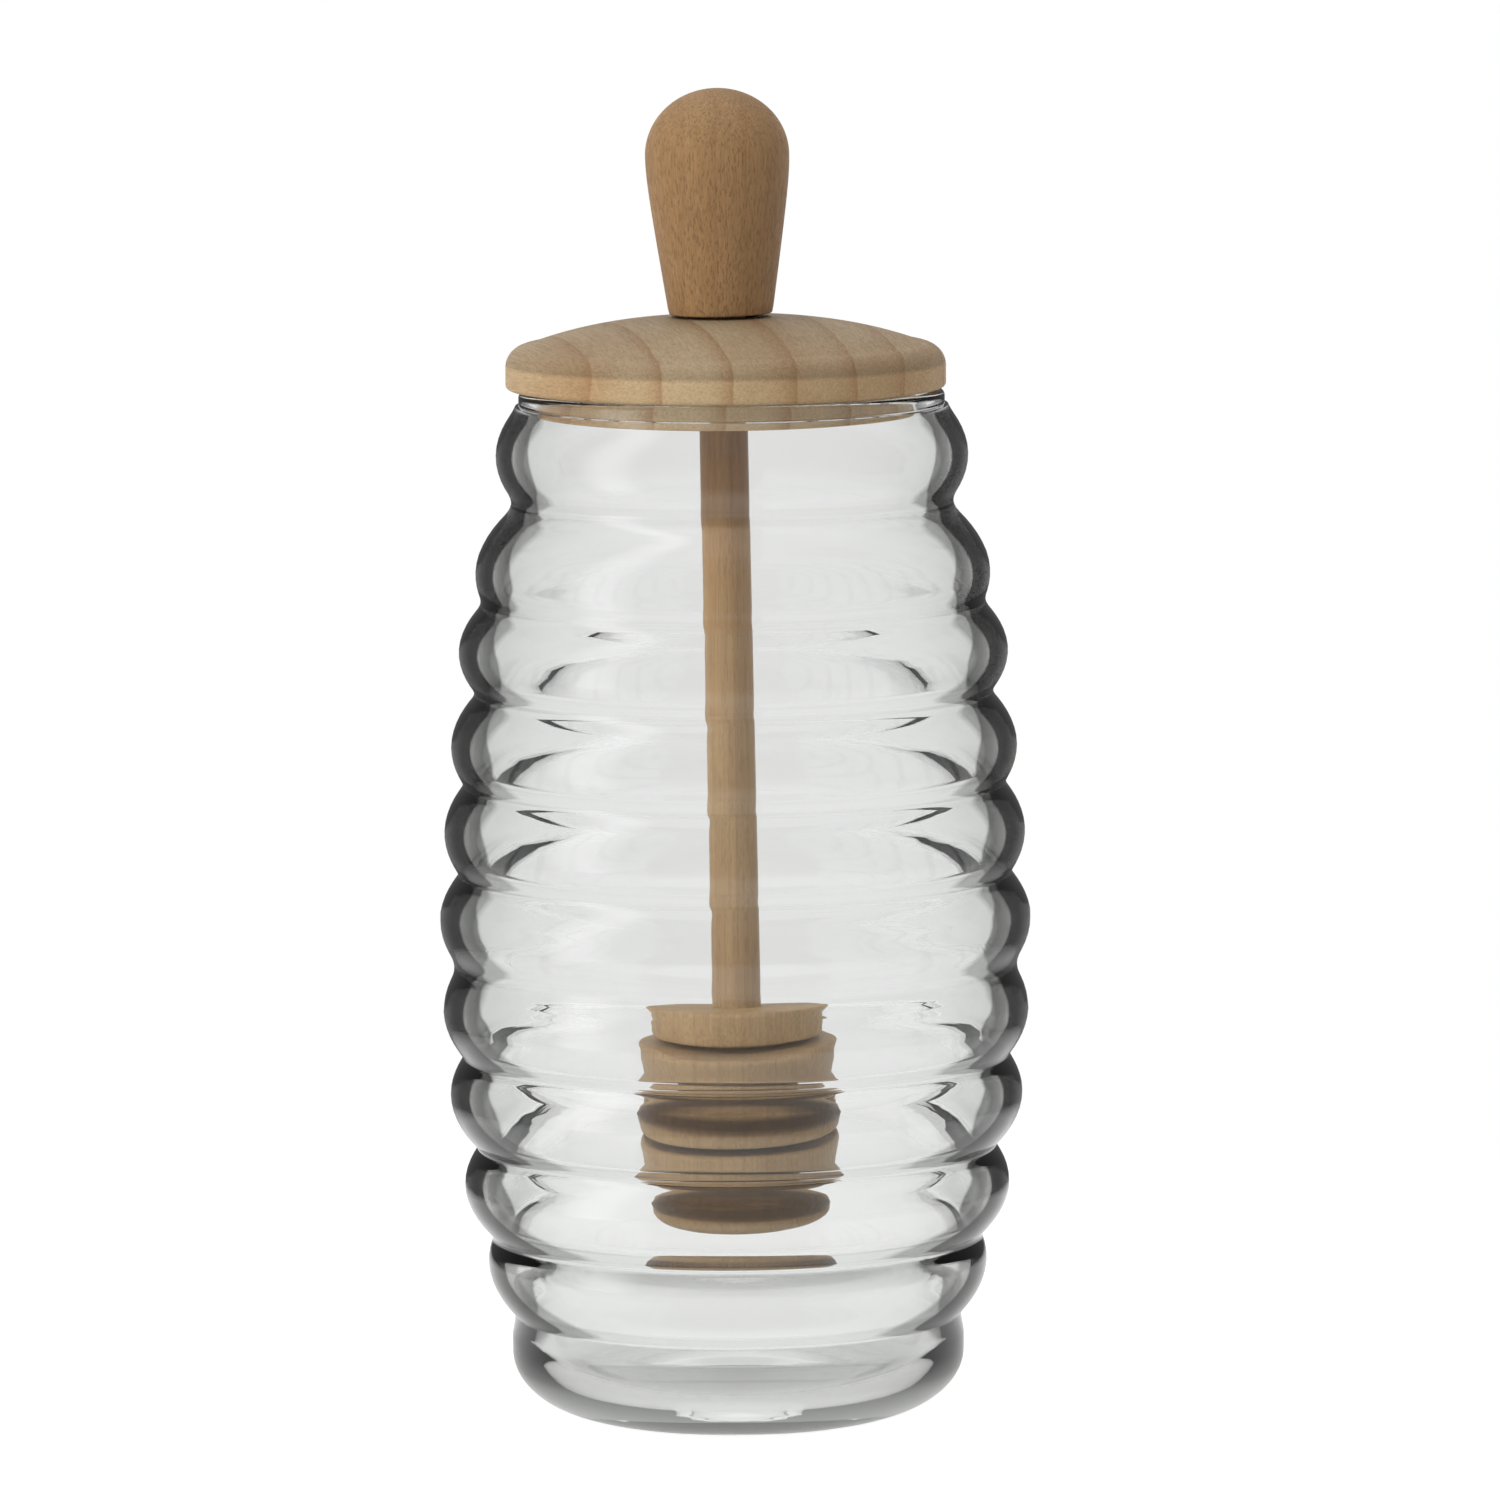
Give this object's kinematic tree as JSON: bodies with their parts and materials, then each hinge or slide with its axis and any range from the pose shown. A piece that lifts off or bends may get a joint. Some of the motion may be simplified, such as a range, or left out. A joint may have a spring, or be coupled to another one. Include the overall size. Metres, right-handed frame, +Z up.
{
  "type": "honey pot with dipper",
  "caption": "Empty ribbed glass honey pot with a domed wooden lid and a wooden dipper that hangs through the lid from its turned handle.",
  "frame": {"origin": "on the axis of the glass, at the plane that its foot stands on", "axes": "+Z up along the axis of the glass, +X to the right as seen from the front, -Y towards the front viewer"},
  "size_m": [0.0842, 0.0842, 0.1892],
  "materials": {
    "glass": "clear, smooth and polished",
    "lid_wood": "sanded pale beech, uncoated",
    "handle_wood": "sanded warm beech, uncoated",
    "dipper_wood": "turned beech with a slight sheen"
  },
  "bodies": {
    "root": {"glass_jar": "glass", "lid": "lid_wood", "handle": "handle_wood", "dipper": "dipper_wood"}
  },
  "joints": []
}
